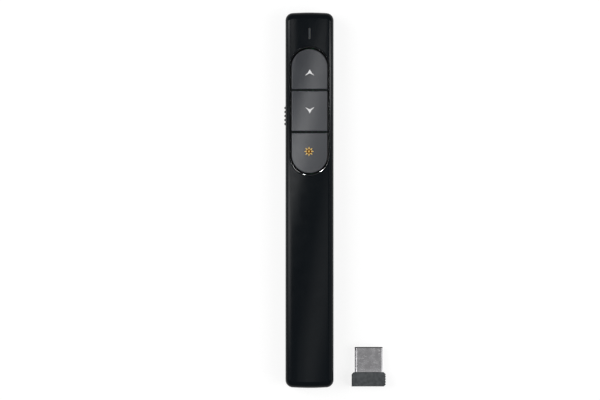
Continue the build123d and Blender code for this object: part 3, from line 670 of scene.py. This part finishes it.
@dataclass
class PieceMaker:
    """Dresses the frame's nodes, and turns meshes into named pieces that ride on its bodies."""

    frame: dict

    def dress(self, looks: dict[Finish, Sequence[str]]) -> None:
        """Give nodes of the frame their finishes.

        Args:
            looks: Each finish, with the names of the nodes that take it.
        """
        for finish, nodes in looks.items():
            for name in nodes:
                self.frame["nodes"][name].material_slots[0].material = finish.material
                LOG.info("dressed %s in %s", name, finish.value.name)

    def piece(
        self, name: str, mesh: Mesh, finish: Finish, body: str, slot: str, smooth: bool = True
    ) -> bpy.types.Object:
        """Make a piece from a mesh.

        Args:
            name: The piece's name.
            mesh: Its geometry, in the frame's metres. It is freed.
            finish: Its finish.
            body: The body that it rides on.
            slot: The record's material slot that it belongs to; not used.
            smooth: Whether its faces are shaded smooth up to sharp edges.

        Returns:
            The new object.
        """
        bmesh.ops.recalc_face_normals(mesh, faces=mesh.faces)
        data = bpy.data.meshes.new(name)
        mesh.to_mesh(data)
        mesh.free()
        if smooth:
            data.polygons.foreach_set("use_smooth", [True] * len(data.polygons))
            data.set_sharp_from_angle(angle=SHARP_ANGLE)
        data.materials.append(finish.material)
        made = bpy.data.objects.new(name, data)
        bpy.context.scene.collection.objects.link(made)
        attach(made, body)
        LOG.info("made %s on %s with %d faces", name, body, len(data.polygons))
        return made


def even_angles(steps: int) -> list[float]:
    """Give the angles of even steps round a circle."""
    return [2 * math.pi * step / steps for step in range(steps)]


def join_rings(mesh: Mesh, rings: Sequence[Ring], closed: bool = False) -> None:
    """Join rings of points with faces, each ring to the next.

    Args:
        mesh: The mesh that holds the points.
        rings: The rings, of as many points each, or of one point where they close to it.
        closed: Whether the last ring is joined to the first.
    """
    after_each = [*rings[1:], *rings[:1]] if closed else rings[1:]
    for near, far in zip(rings, after_each):
        steps = max(len(near), len(far))
        for step in range(steps):
            pair = (step, (step + 1) % steps)
            corners = [near[at % len(near)] for at in pair]
            corners += [far[at % len(far)] for at in reversed(pair)]
            mesh.faces.new(list(dict.fromkeys(corners)))


def lathe(profile: Sequence[Point], centre: Vector, segments: int = 64) -> Mesh:
    """Turn a profile about a line along Y.

    Args:
        profile: Points of radius and Y, from one end to the other.
        centre: A point on the line; its Y is added to the profile's.
        segments: Steps round the line.

    Returns:
        The turned mesh, closed at its ends where the profile ends on the line.
    """
    mesh = bmesh.new()
    rings = []
    for radius, along in profile:
        if radius == 0:
            rings.append([mesh.verts.new((centre.x, centre.y + along, centre.z))])
            continue
        ring = []
        for angle in even_angles(segments):
            offset = Vector((radius * math.cos(angle), along, radius * math.sin(angle)))
            ring.append(mesh.verts.new(centre + offset))
        rings.append(ring)
    join_rings(mesh, rings)
    return mesh


def tube(path: Sequence[Vector], radius: float, sides: int = 12) -> Mesh:
    """Sweep a round wire along a path that nowhere runs straight along Y.

    Args:
        path: Points along the wire's centre line.
        radius: The wire's radius.
        sides: Sides of its section.

    Returns:
        The wire, closed at both ends.
    """
    mesh = bmesh.new()
    rings = []
    for index, point in enumerate(path):
        ahead = path[min(index + 1, len(path) - 1)] - path[max(index - 1, 0)]
        along = ahead.normalized()
        side = along.cross(Vector((0, 1, 0))).normalized()
        up = side.cross(along)
        spokes = [math.cos(angle) * side + math.sin(angle) * up for angle in even_angles(sides)]
        rings.append([mesh.verts.new(point + radius * spoke) for spoke in spokes])
    join_rings(mesh, rings)
    mesh.faces.new(rings[0])
    mesh.faces.new(rings[-1])
    return mesh


def add_print(
    mesh: Mesh, outline: Sequence[Point], height: Callable[[float, float], float], thickness: float
) -> None:
    """Add a thin closed layer that follows a surface.

    Args:
        mesh: The mesh that takes the layer.
        outline: The layer's outline, seen from above.
        height: The surface's height at a place.
        thickness: How far the layer stands above the surface, and reaches below it.
    """
    low = [mesh.verts.new((x, y, height(x, y) - thickness)) for x, y in outline]
    high = [mesh.verts.new((x, y, height(x, y) + thickness)) for x, y in outline]
    mesh.faces.new(high)
    mesh.faces.new(list(reversed(low)))
    for index in range(len(outline)):
        after = (index + 1) % len(outline)
        mesh.faces.new([low[index], low[after], high[after], high[index]])


@dataclass
class SubAssembly:
    """Nodes of the frame that are dressed together, and the pieces that are made for them."""

    maker: PieceMaker
    looks: ClassVar[dict[Finish, Sequence[str]]] = {}

    def build(self) -> None:
        """Dress the nodes and make the pieces."""
        self.maker.dress(self.looks)
        self.make()

    def make(self) -> None:
        """Make no piece, where the frame has them all."""


# ---- the key face


@dataclass
class CrownedFace:
    """The handset's key face: a gentle crown that turns down into rounded long edges."""

    crown_radius: float = 90.0 * MM
    edge_radius: float = 2.6 * MM
    half_width: float = field(init=False)
    top_z: float = field(init=False)

    def __post_init__(self) -> None:
        """Take the width and the height from the frame."""
        low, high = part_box("upper_housing")
        self.half_width = (high.x - low.x) / 2
        self.top_z = high.z

    def crown_z(self, x: float, proud: float = 0.0) -> float:
        """Height of the crown across the handset, or of a crown that stands proud of it."""
        radius = self.crown_radius + proud
        return self.top_z + proud - (radius - math.sqrt(radius * radius - x * x))

    def z(self, x: float) -> float:
        """Find the height of the face across the handset, its rounded edge included.

        Args:
            x: The place across.

        Returns:
            The height.
        """
        turn_x = self.half_width - self.edge_radius
        inner = self.crown_radius - self.edge_radius
        meet_x = turn_x * self.crown_radius / inner
        if abs(x) <= meet_x:
            return self.crown_z(x)
        turn_z = self.top_z - self.crown_radius + math.sqrt(inner * inner - turn_x * turn_x)
        reach = min(abs(x) - turn_x, self.edge_radius)
        return turn_z + math.sqrt(self.edge_radius**2 - reach**2)


@dataclass
class KeyPad(SubAssembly):
    """The stadium of three keys, the rounded rim round it and the marks printed on the keys."""

    looks = {
        Finish.KEY: KEY_PIECES,
        Finish.MOULDED: ("page_up_plunger", "page_down_plunger", "laser_plunger"),
    }
    face: CrownedFace
    key_gap: float = 0.65 * MM
    key_flange_lap: float = 0.4 * MM
    key_proud: float = 0.25 * MM
    cap_half_width: float = field(init=False)
    rim_depth: float = 0.5 * MM
    rim_steps: int = 8
    rim_lift: float = 0.006 * MM
    rim_face_tuck: float = 6.0
    rim_wall_tuck: float = 2.0
    rim_wall_inset: float = 4.0
    rim_halvings: int = 30
    arc_steps: int = 40
    print_thickness: float = 0.018 * MM
    print_weld: float = 0.001 * MM
    marks_x: float = 0.1 * MM
    chevron_reach: float = 2.03 * MM
    chevron_height: float = 2.7 * MM
    chevron_notch: float = 1.72 * MM
    chevron_hollow: float = 0.16 * MM
    chevron_inner_share: float = 0.2
    up_apex_y: float = 55.72 * MM
    down_apex_y: float = 36.95 * MM
    sun_centre: Point = (-0.24 * MM, 20.76 * MM)
    sun_rays: int = 8
    sun_ray_inner: float = 0.95 * MM
    sun_ray_outer: float = 1.95 * MM
    sun_ray_half_root: float = 0.32 * MM
    sun_ray_half_tip: float = 0.09 * MM
    sun_ring_outer: float = 1.0 * MM
    sun_ring_inner: float = 0.4 * MM
    sun_dot: float = 0.4 * MM
    sun_steps: int = 32

    def __post_init__(self) -> None:
        """Take the width of the keys' caps from the frame."""
        low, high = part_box("page_down_key")
        self.cap_half_width = (high.x - low.x) / 2 - self.key_gap - self.key_flange_lap

    def make(self) -> None:
        """Print the keys' marks and lay the rim."""
        self.print_chevron("page_up_mark", "page_up", self.up_apex_y, -1.0)
        self.print_chevron("page_down_mark", "page_down", self.down_apex_y, 1.0)
        self.print_sun()
        self.lay_rim()

    def key_z(self, x: float, _y: float) -> float:
        """Height of the keys' face at a place."""
        return self.face.crown_z(x, self.key_proud)

    def print_chevron(self, name: str, body: str, apex_y: float, lean: float) -> None:
        """Print an arrow head whose arms taper to points.

        Args:
            name: The piece's name.
            body: The key's body.
            apex_y: Where its point lies.
            lean: Minus one where its arms run towards the tail, one where they run to the front.
        """
        mesh = bmesh.new()
        for side in (-1.0, 1.0):
            tip = (self.marks_x + side * self.chevron_reach, apex_y + lean * self.chevron_height)
            apex = (self.marks_x, apex_y)
            notch = (self.marks_x, apex_y + lean * self.chevron_notch)
            hollow = (side * self.chevron_hollow, lean * self.chevron_hollow)
            shallow = [inward * self.chevron_inner_share for inward in hollow]
            bend = ((apex[0] + tip[0]) / 2 - hollow[0], (apex[1] + tip[1]) / 2 + hollow[1])
            inside = ((notch[0] + tip[0]) / 2 - shallow[0], (notch[1] + tip[1]) / 2 - shallow[1])
            outline = [apex, bend, tip, inside, notch]
            if side * lean > 0:
                outline.reverse()
            add_print(mesh, outline, self.key_z, self.print_thickness)
        bmesh.ops.remove_doubles(mesh, verts=mesh.verts, dist=self.print_weld)
        self.maker.piece(name, mesh, Finish.WHITE_INK, body, "key_grey", smooth=False)

    def print_sun(self) -> None:
        """Print the laser key's sun: rays round a ring and a dot."""
        rays = bmesh.new()
        centre_x, centre_y = self.sun_centre
        for angle in even_angles(self.sun_rays):
            along = Vector((math.cos(angle), math.sin(angle)))
            across = Vector((-along.y, along.x))
            corners = [
                self.sun_ray_inner * along - self.sun_ray_half_root * across,
                self.sun_ray_outer * along - self.sun_ray_half_tip * across,
                self.sun_ray_outer * along + self.sun_ray_half_tip * across,
                self.sun_ray_inner * along + self.sun_ray_half_root * across,
            ]
            outline = [(centre_x + corner.x, centre_y + corner.y) for corner in corners]
            add_print(rays, outline, self.key_z, self.print_thickness)
        dot = bmesh.new()
        add_print(dot, self.circle(self.sun_dot), self.key_z, self.print_thickness)
        marks = {
            "sun_rays_mark": (rays, Finish.AMBER_INK),
            "sun_ring_mark": (self.sun_ring(), Finish.ORANGE_INK),
            "sun_dot_mark": (dot, Finish.AMBER_INK),
        }
        for name, (mesh, ink) in marks.items():
            self.maker.piece(name, mesh, ink, "laser_button", "key_grey", smooth=False)

    def circle(self, radius: float) -> list[Point]:
        """Give points round the sun's centre.

        Args:
            radius: How far from it they lie.

        Returns:
            The points.
        """
        x, y = self.sun_centre
        angles = even_angles(self.sun_steps)
        return [(x + radius * math.cos(angle), y + radius * math.sin(angle)) for angle in angles]

    def sun_ring(self) -> Mesh:
        """Make the thin closed ring round the sun's dot.

        Returns:
            The ring's mesh.
        """
        inner, outer = self.sun_ring_inner, self.sun_ring_outer
        mesh = bmesh.new()
        loops = []
        for radius, lift in ((inner, -1.0), (inner, 1.0), (outer, 1.0), (outer, -1.0)):
            points = self.circle(radius)
            height = lift * self.print_thickness
            loops.append([mesh.verts.new((x, y, self.key_z(x, y) + height)) for x, y in points])
        join_rings(mesh, loops, closed=True)
        return mesh

    def stadium(self) -> list[tuple[Vector, Vector]]:
        """Walk round the keys' aperture.

        Returns:
            Points on its edge, each with its outward direction.
        """
        half = self.cap_half_width + self.key_gap
        first_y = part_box("laser_key")[0].y + self.cap_half_width
        last_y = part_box("page_up_key")[1].y - self.cap_half_width
        walk = []
        for centre_y, start in ((last_y, 0.0), (first_y, math.pi)):
            for step in range(self.arc_steps + 1):
                angle = start + math.pi * step / self.arc_steps
                outward = Vector((math.cos(angle), math.sin(angle), 0))
                walk.append((Vector((0, centre_y, 0)) + half * outward, outward))
        return walk

    def lay_rim(self) -> None:
        """Lay the rounded bead where the aperture's wall turns into the key face."""
        root_z = self.face.top_z - self.rim_depth
        lift = self.rim_lift
        mesh = bmesh.new()
        rings = []
        for edge, outward in self.stadium():
            reach = self.rim_reach(edge, outward, root_z)
            ring = []
            for step in range(self.rim_steps + 1):
                angle = 0.5 * math.pi * step / self.rim_steps
                out = reach * (1 - math.cos(angle))
                up = reach * math.sin(angle)
                ring.append(edge + outward * out + Vector((0, 0, root_z + up + lift)))
            face_tuck = Vector((0, 0, root_z + reach - self.rim_face_tuck * lift))
            wall_tuck = Vector((0, 0, root_z - self.rim_wall_tuck * lift))
            ring.append(edge + outward * (reach + lift) + face_tuck)
            ring.append(edge + outward * self.rim_wall_inset * lift + wall_tuck)
            rings.append([mesh.verts.new(point) for point in ring])
        join_rings(mesh, rings, closed=True)
        self.maker.piece("key_rim", mesh, Finish.RIM, "handset", "housing_black")

    def rim_reach(self, edge: Vector, outward: Vector, root_z: float) -> float:
        """Find how far the bead spreads before it meets the key face.

        Args:
            edge: A point on the aperture's edge.
            outward: The direction away from the keys.
            root_z: The bead's lowest height.

        Returns:
            The bead's radius there.
        """
        low, high = 0.0, 2 * self.rim_depth
        for _ in range(self.rim_halvings):
            middle = (low + high) / 2
            if root_z + middle < self.face.z(edge.x + outward.x * middle):
                low = middle
            else:
                high = middle
        return low


# ---- the rest of the handset


@dataclass
class Handset(SubAssembly):
    """The housings, the battery door, the power slider, the light and the laser window."""

    looks = {
        Finish.HOUSING: ("upper_housing", "lower_housing", "battery_door"),
        Finish.SLIDER: ("power_slider",),
        Finish.MOULDED: ("slide_switch_lever", "receiver_dock"),
        Finish.LIGHT_PIPE: ("indicator_light_pipe",),
        Finish.LED: ("indicator_led",),
        Finish.OPTIC: ("laser_window", "laser_lens"),
        Finish.BRASS: ("laser_barrel",),
        Finish.SCREW: ("housing_screws",),
        Finish.MAGNET: ("dock_magnet",),
    }


@dataclass
class Electronics(SubAssembly):
    """The boards and what they carry."""

    looks = {
        Finish.BOARD: ("main_circuit_board", "laser_driver_board", "receiver_board"),
        Finish.MOULDED: ("controller_chip", "receiver_chip", "tact_switch_bodies"),
        Finish.PLATED: ("crystal_can", "slide_switch_body"),
        Finish.CAPACITOR: ("capacitors",),
    }


@dataclass
class BatteryBay(SubAssembly):
    """The cell, its spring and its contacts."""

    looks = {
        Finish.PLATED: (
            "battery_positive_cap",
            "battery_positive_contact",
            "battery_negative_contact",
        ),
    }
    cell_edge: float = 0.45 * MM
    edge_steps: int = 6
    lip_share: float = 1.6
    lip_rise_share: float = 0.4
    shoulder: float = 0.35 * MM
    cap_seat: float = 2.6 * MM
    turns: float = 5.0
    wire_radius: float = 0.3 * MM
    closed_share: float = 0.12
    path_steps: int = 160

    def make(self) -> None:
        """Make the cell's jacket and the round-wire spring."""
        self.wrap_cell()
        self.wind_spring()

    def wrap_cell(self) -> None:
        """Make the cell: a film jacket rolled over both ends of a steel can."""
        low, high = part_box("battery_can")
        radius = (high.x - low.x) / 2
        centre = Vector(((low.x + high.x) / 2, 0, (low.z + high.z) / 2))
        end_radius = radius - 2 * self.cell_edge
        profile = [(0.0, low.y + self.shoulder), (end_radius, low.y + self.shoulder)]
        profile += self.rolled_edge(radius, low.y, 1.0)
        profile += list(reversed(self.rolled_edge(radius, high.y, -1.0)))
        profile += [(end_radius, high.y - self.shoulder), (self.cap_seat, high.y - self.shoulder)]
        profile += [(self.cap_seat - self.shoulder, high.y), (0.0, high.y)]
        jacket = lathe(profile, centre)
        cell = self.maker.piece("dry_cell", jacket, Finish.CELL, "handset", "battery_jacket")
        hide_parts("battery_can")

    def rolled_edge(self, radius: float, end_y: float, inward: float) -> list[Point]:
        """Give the rounded profile of the jacket at one end, from its lip to the can's side.

        Args:
            radius: The can's radius.
            end_y: Where the can ends.
            inward: The direction along Y into the can.

        Returns:
            Points of radius and Y.
        """
        lip_y = end_y + inward * self.lip_rise_share * self.cell_edge
        points = [(radius - self.lip_share * self.cell_edge, lip_y)]
        for step in range(self.edge_steps + 1):
            angle = 0.5 * math.pi * step / self.edge_steps
            out = radius - self.cell_edge + self.cell_edge * math.sin(angle)
            points.append((out, end_y + inward * self.cell_edge * (1 - math.cos(angle))))
        return points

    def wind_spring(self) -> None:
        """Wind the negative spring from round wire, its end turns lying close."""
        low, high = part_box("battery_spring")
        coil_radius = (high.x - low.x) / 2 - self.wire_radius
        length = high.y - low.y - 2 * self.wire_radius
        centre = Vector(((low.x + high.x) / 2, high.y - self.wire_radius, (low.z + high.z) / 2))
        path = []
        for step in range(self.path_steps + 1):
            share = step / self.path_steps
            eased = share * share * (3 - 2 * share)
            along = (1 - self.closed_share) * share + self.closed_share * eased
            angle = 2 * math.pi * self.turns * share
            across, up = coil_radius * math.cos(angle), coil_radius * math.sin(angle)
            path.append(centre + Vector((across, -length * along, up)))
        wire = tube(path, self.wire_radius)
        spring = self.maker.piece("coil_spring", wire, Finish.PLATED, "handset", "plated_steel")
        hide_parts("battery_spring")


# ---- the receiver


@dataclass
class Receiver(SubAssembly):
    """The nano USB receiver that lies beside the tail."""

    looks = {
        Finish.RECEIVER: ("receiver_grip",),
        Finish.PLUG: PLUG_PIECE,
        Finish.GOLD: ("receiver_contacts",),
    }


# ---- the studio


class Role(Enum):
    """What a lamp is for."""

    SOFTBOX = "light and reflections"
    FILL = "light that leaves no glint"


class Aim(Enum):
    """Where on the table a lamp points, as the shares of its own X and Y."""

    CENTRE = (0.0, 0.0)
    ACROSS = (0.0, 1.0)
    DOWN = (1.0, 1.0)


@dataclass(frozen=True)
class Lamp:
    """A soft lamp: where it hangs, how large and bright it is, and how it is turned.

    The roll is in degrees. The fade is its strength at either end of its width. A lamp that names
    pieces lights only those.
    """

    name: str
    place: Place
    size: Span
    radiance: float
    aim: Aim = Aim.CENTRE
    roll: float = 0.0
    fade: Span = (1.0, 1.0)
    role: Role = Role.SOFTBOX
    only: tuple[str, ...] = ()

    def hang(self) -> None:
        """Hang the lamp, shielded from all but the pieces that it names."""
        lamp = bpy.data.lights.new(self.name, "AREA")
        lamp.shape = "RECTANGLE"
        lamp.size, lamp.size_y = self.size
        lamp.energy = self.radiance * math.pi * self.size[0] * self.size[1]
        if self.fade != (1.0, 1.0):
            self.grade(lamp)
        hung = bpy.data.objects.new(self.name, lamp)
        bpy.context.scene.collection.objects.link(hung)
        target = Vector((self.place[0] * self.aim.value[0], self.place[1] * self.aim.value[1], 0.0))
        turned = (Vector(self.place) - target).to_track_quat("Z", "Y").to_matrix().to_4x4()
        rolled = Matrix.Rotation(math.radians(self.roll), 4, "Z")
        hung.matrix_world = Matrix.Translation(self.place) @ turned @ rolled
        hung.visible_camera = False
        hung.visible_glossy = self.role is not Role.FILL
        if self.only:
            lit = bpy.data.collections.new(self.name)
            for name in self.only:
                lit.objects.link(bpy.data.objects[name])
            hung.light_linking.receiver_collection = lit

    def grade(self, lamp: bpy.types.AreaLight) -> None:
        """Make the lamp's strength run from one end of its width to the other.

        Args:
            lamp: The lamp's data.
        """
        lamp.use_nodes = True
        sheet = NodeSheet(lamp.node_tree)
        place = sheet.add("ShaderNodeNewGeometry").outputs["Parametric"]
        strength = sheet.span(sheet.part("X", place), 0.0, 1.0, *self.fade)
        emission = next(node for node in sheet.tree.nodes if node.type == "EMISSION")
        sheet.feed(emission.inputs["Strength"], strength)


@dataclass
class Studio:
    """The pale table, the soft light and the camera straight above."""

    pixel: float = 0.427 * MM
    picture_width: int = 600
    view_x: float = -4.06 * MM
    view_y: float = 0.09 * MM
    view_height: float = 7.2 * MM
    view_far: float = 10.0
    lens: float = 300.0
    sensor: float = 36.0
    floor_size: float = 6.0
    floor_tone: float = 0.28
    floor_glow: float = 0.82
    floor_glow_mirrored: float = 0.76
    sky_heights: Span = (0.12, 0.42)
    sky_glow: Span = (0.45, 0.25)
    lights: tuple[Lamp, ...] = (
        Lamp(
            "diagonal_light", (-0.05, 0.045, 1.0), (0.46, 0.042), 3.9, Aim.DOWN, 13.3, (0.42, 1.0),
            only=FACE_PIECE + KEY_PIECES,
        ),
        Lamp("lower_light", (0.06, 0.02, 1.0), (0.3, 0.05), 0.9, Aim.DOWN, 13.3, only=KEY_PIECES),
        Lamp(
            "faint_light", (0.095, -0.066, 1.0), (0.3, 0.05), 0.8, Aim.DOWN, 21.5, only=FACE_PIECE
        ),
        Lamp("halo_light", (0.08, -0.07, 1.0), (0.4, 0.095), 0.4, Aim.DOWN, 21.5, only=FACE_PIECE),
        Lamp("right_light", (0.8, 0.079, 0.62), (0.045, 0.7), 7.5, Aim.ACROSS, only=SHELL_PIECES),
        Lamp(
            "left_rise_light", (-0.92, 0.0425, 0.72), (0.045, 0.9), 1.7, Aim.ACROSS, fade=(0.0, 1.0)
        ),
        Lamp(
            "left_fall_light", (-0.92, -0.045, 0.72), (0.13, 0.9), 5.0, Aim.ACROSS, fade=(1.0, 0.0),
            only=HANDSET_PIECES,
        ),
        Lamp(
            "left_front_light", (-0.92, 0.135, 0.72), (0.07, 0.9), 9.0, Aim.ACROSS, fade=(1.0, 0.3),
            only=SHELL_PIECES,
        ),
        Lamp("left_over_light", (-0.5, -0.04, 1.0), (0.15, 0.62), 3.0, Aim.DOWN, 90.0, (1.0, 0.0)),
        Lamp(
            "front_over_light", (-0.42, 0.135, 1.0), (0.56, 0.09), 1.9, Aim.DOWN, fade=(1.0, 0.05)
        ),
        Lamp("right_rear_light", (1.0, -0.07, 0.6), (0.16, 1.2), 0.3, Aim.ACROSS),
        Lamp("left_fill", (-0.9, 0.3, 1.1), (0.9, 0.9), 3.2, role=Role.FILL),
        Lamp("right_fill", (0.9, -0.2, 1.1), (0.9, 0.9), 3.0, role=Role.FILL),
        Lamp("rim_left_light", (-0.9, 0.44, 0.45), (0.85, 0.4), 25.0, only=RIM_PIECE),
        Lamp("rim_right_light", (0.8, 0.6, 0.45), (0.9, 0.4), 21.0, only=RIM_PIECE),
        Lamp("rim_left_spot", (-0.545, 0.839, 0.5), (0.15, 0.4), 320.0, only=RIM_PIECE),
        Lamp("rim_right_spot", (0.242, 0.97, 0.5), (0.1, 0.4), 115.0, only=RIM_PIECE),
        Lamp("key_left_light", (-0.62, 0.06, 0.9), (0.14, 0.55), 5.5, only=KEY_PIECES),
        Lamp("key_front_light", (0.0, 0.62, 0.9), (0.4, 0.5), 4.6, only=KEY_PIECES),
        Lamp("plug_left_light", (-1.0, -0.1, 0.6), (0.5, 1.0), 0.6, only=PLUG_PIECE),
        Lamp("plug_right_light", (1.0, -0.1, 0.6), (0.5, 1.0), 0.45, only=PLUG_PIECE),
        Lamp("plug_over_light", (0.05, 0.1, 1.0), (0.5, 0.5), 0.1, Aim.DOWN, only=PLUG_PIECE),
    )

    def build(self) -> None:
        """Set up the studio."""
        bpy.context.scene.view_settings.view_transform = "Standard"
        self.light_sky()
        self.lay_floor()
        for light in self.lights:
            light.hang()
            LOG.info("hung %s", light.name)
        self.stand_camera()

    def light_sky(self) -> None:
        """Make the world: pale to the horizon and dim overhead, so that the gloss stays dark."""
        world = bpy.data.worlds.new("studio_sky")
        bpy.context.scene.world = world
        world.use_nodes = True
        world.node_tree.nodes.clear()
        sheet = NodeSheet(world.node_tree)
        height = sheet.part("Z", sheet.add("ShaderNodeTexCoord").outputs["Generated"])
        ranges = (*self.sky_heights, *self.sky_glow)
        strength = sheet.span(height, *ranges, interpolation_type="SMOOTHSTEP")
        sky = sheet.add("ShaderNodeBackground", {"Strength": strength})
        sheet.add("ShaderNodeOutputWorld", {"Surface": sky.outputs[0]})

    def lay_floor(self) -> None:
        """Lay the table top: pale, and white to the eye and in reflections, with a soft shadow."""
        sheet = ShaderSheet("table_white")
        diffuse = sheet.add("ShaderNodeBsdfDiffuse", {"Color": rgba((self.floor_tone,) * 3)})
        path = sheet.add("ShaderNodeLightPath").outputs
        mirrored = sheet.math("MAXIMUM", path["Is Glossy Ray"], path["Is Transmission Ray"])
        mirrored = sheet.math("MULTIPLY", mirrored, self.floor_glow_mirrored)
        seen = sheet.math("MULTIPLY", path["Is Camera Ray"], self.floor_glow)
        strength = sheet.math("MAXIMUM", seen, mirrored)
        glow = sheet.add("ShaderNodeEmission", {"Strength": strength})
        both = sheet.add("ShaderNodeAddShader", {0: diffuse.outputs[0], 1: glow.outputs[0]})
        sheet.feed(sheet.output.inputs["Surface"], both.outputs[0])
        mesh = bmesh.new()
        bmesh.ops.create_grid(mesh, x_segments=1, y_segments=1, size=self.floor_size / 2)
        data = bpy.data.meshes.new("table_top")
        mesh.to_mesh(data)
        mesh.free()
        data.materials.append(sheet.material)
        floor = bpy.data.objects.new("table_top", data)
        bpy.context.scene.collection.objects.link(floor)

    def stand_camera(self) -> None:
        """Stand the camera straight above the key face, with the laser end up."""
        camera = bpy.data.cameras.new("camera")
        camera.lens = self.lens
        camera.sensor_width = self.sensor
        camera.clip_end = self.view_far
        stood = bpy.data.objects.new("camera", camera)
        bpy.context.scene.collection.objects.link(stood)
        distance = self.pixel * self.picture_width * self.lens / self.sensor
        stood.location = (self.view_x, self.view_y, self.view_height + distance)
        bpy.context.scene.camera = stood


# ---- making the scene


def main() -> None:
    """Load the frame, dress and build every sub-assembly, and set up the studio."""
    logging.basicConfig(level=logging.INFO, format="%(message)s")
    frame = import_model()
    maker = PieceMaker(frame)
    Handset(maker).build()
    KeyPad(maker, CrownedFace()).build()
    Electronics(maker).build()
    BatteryBay(maker).build()
    Receiver(maker).build()
    Studio().build()


if __name__ == "__main__":
    main()
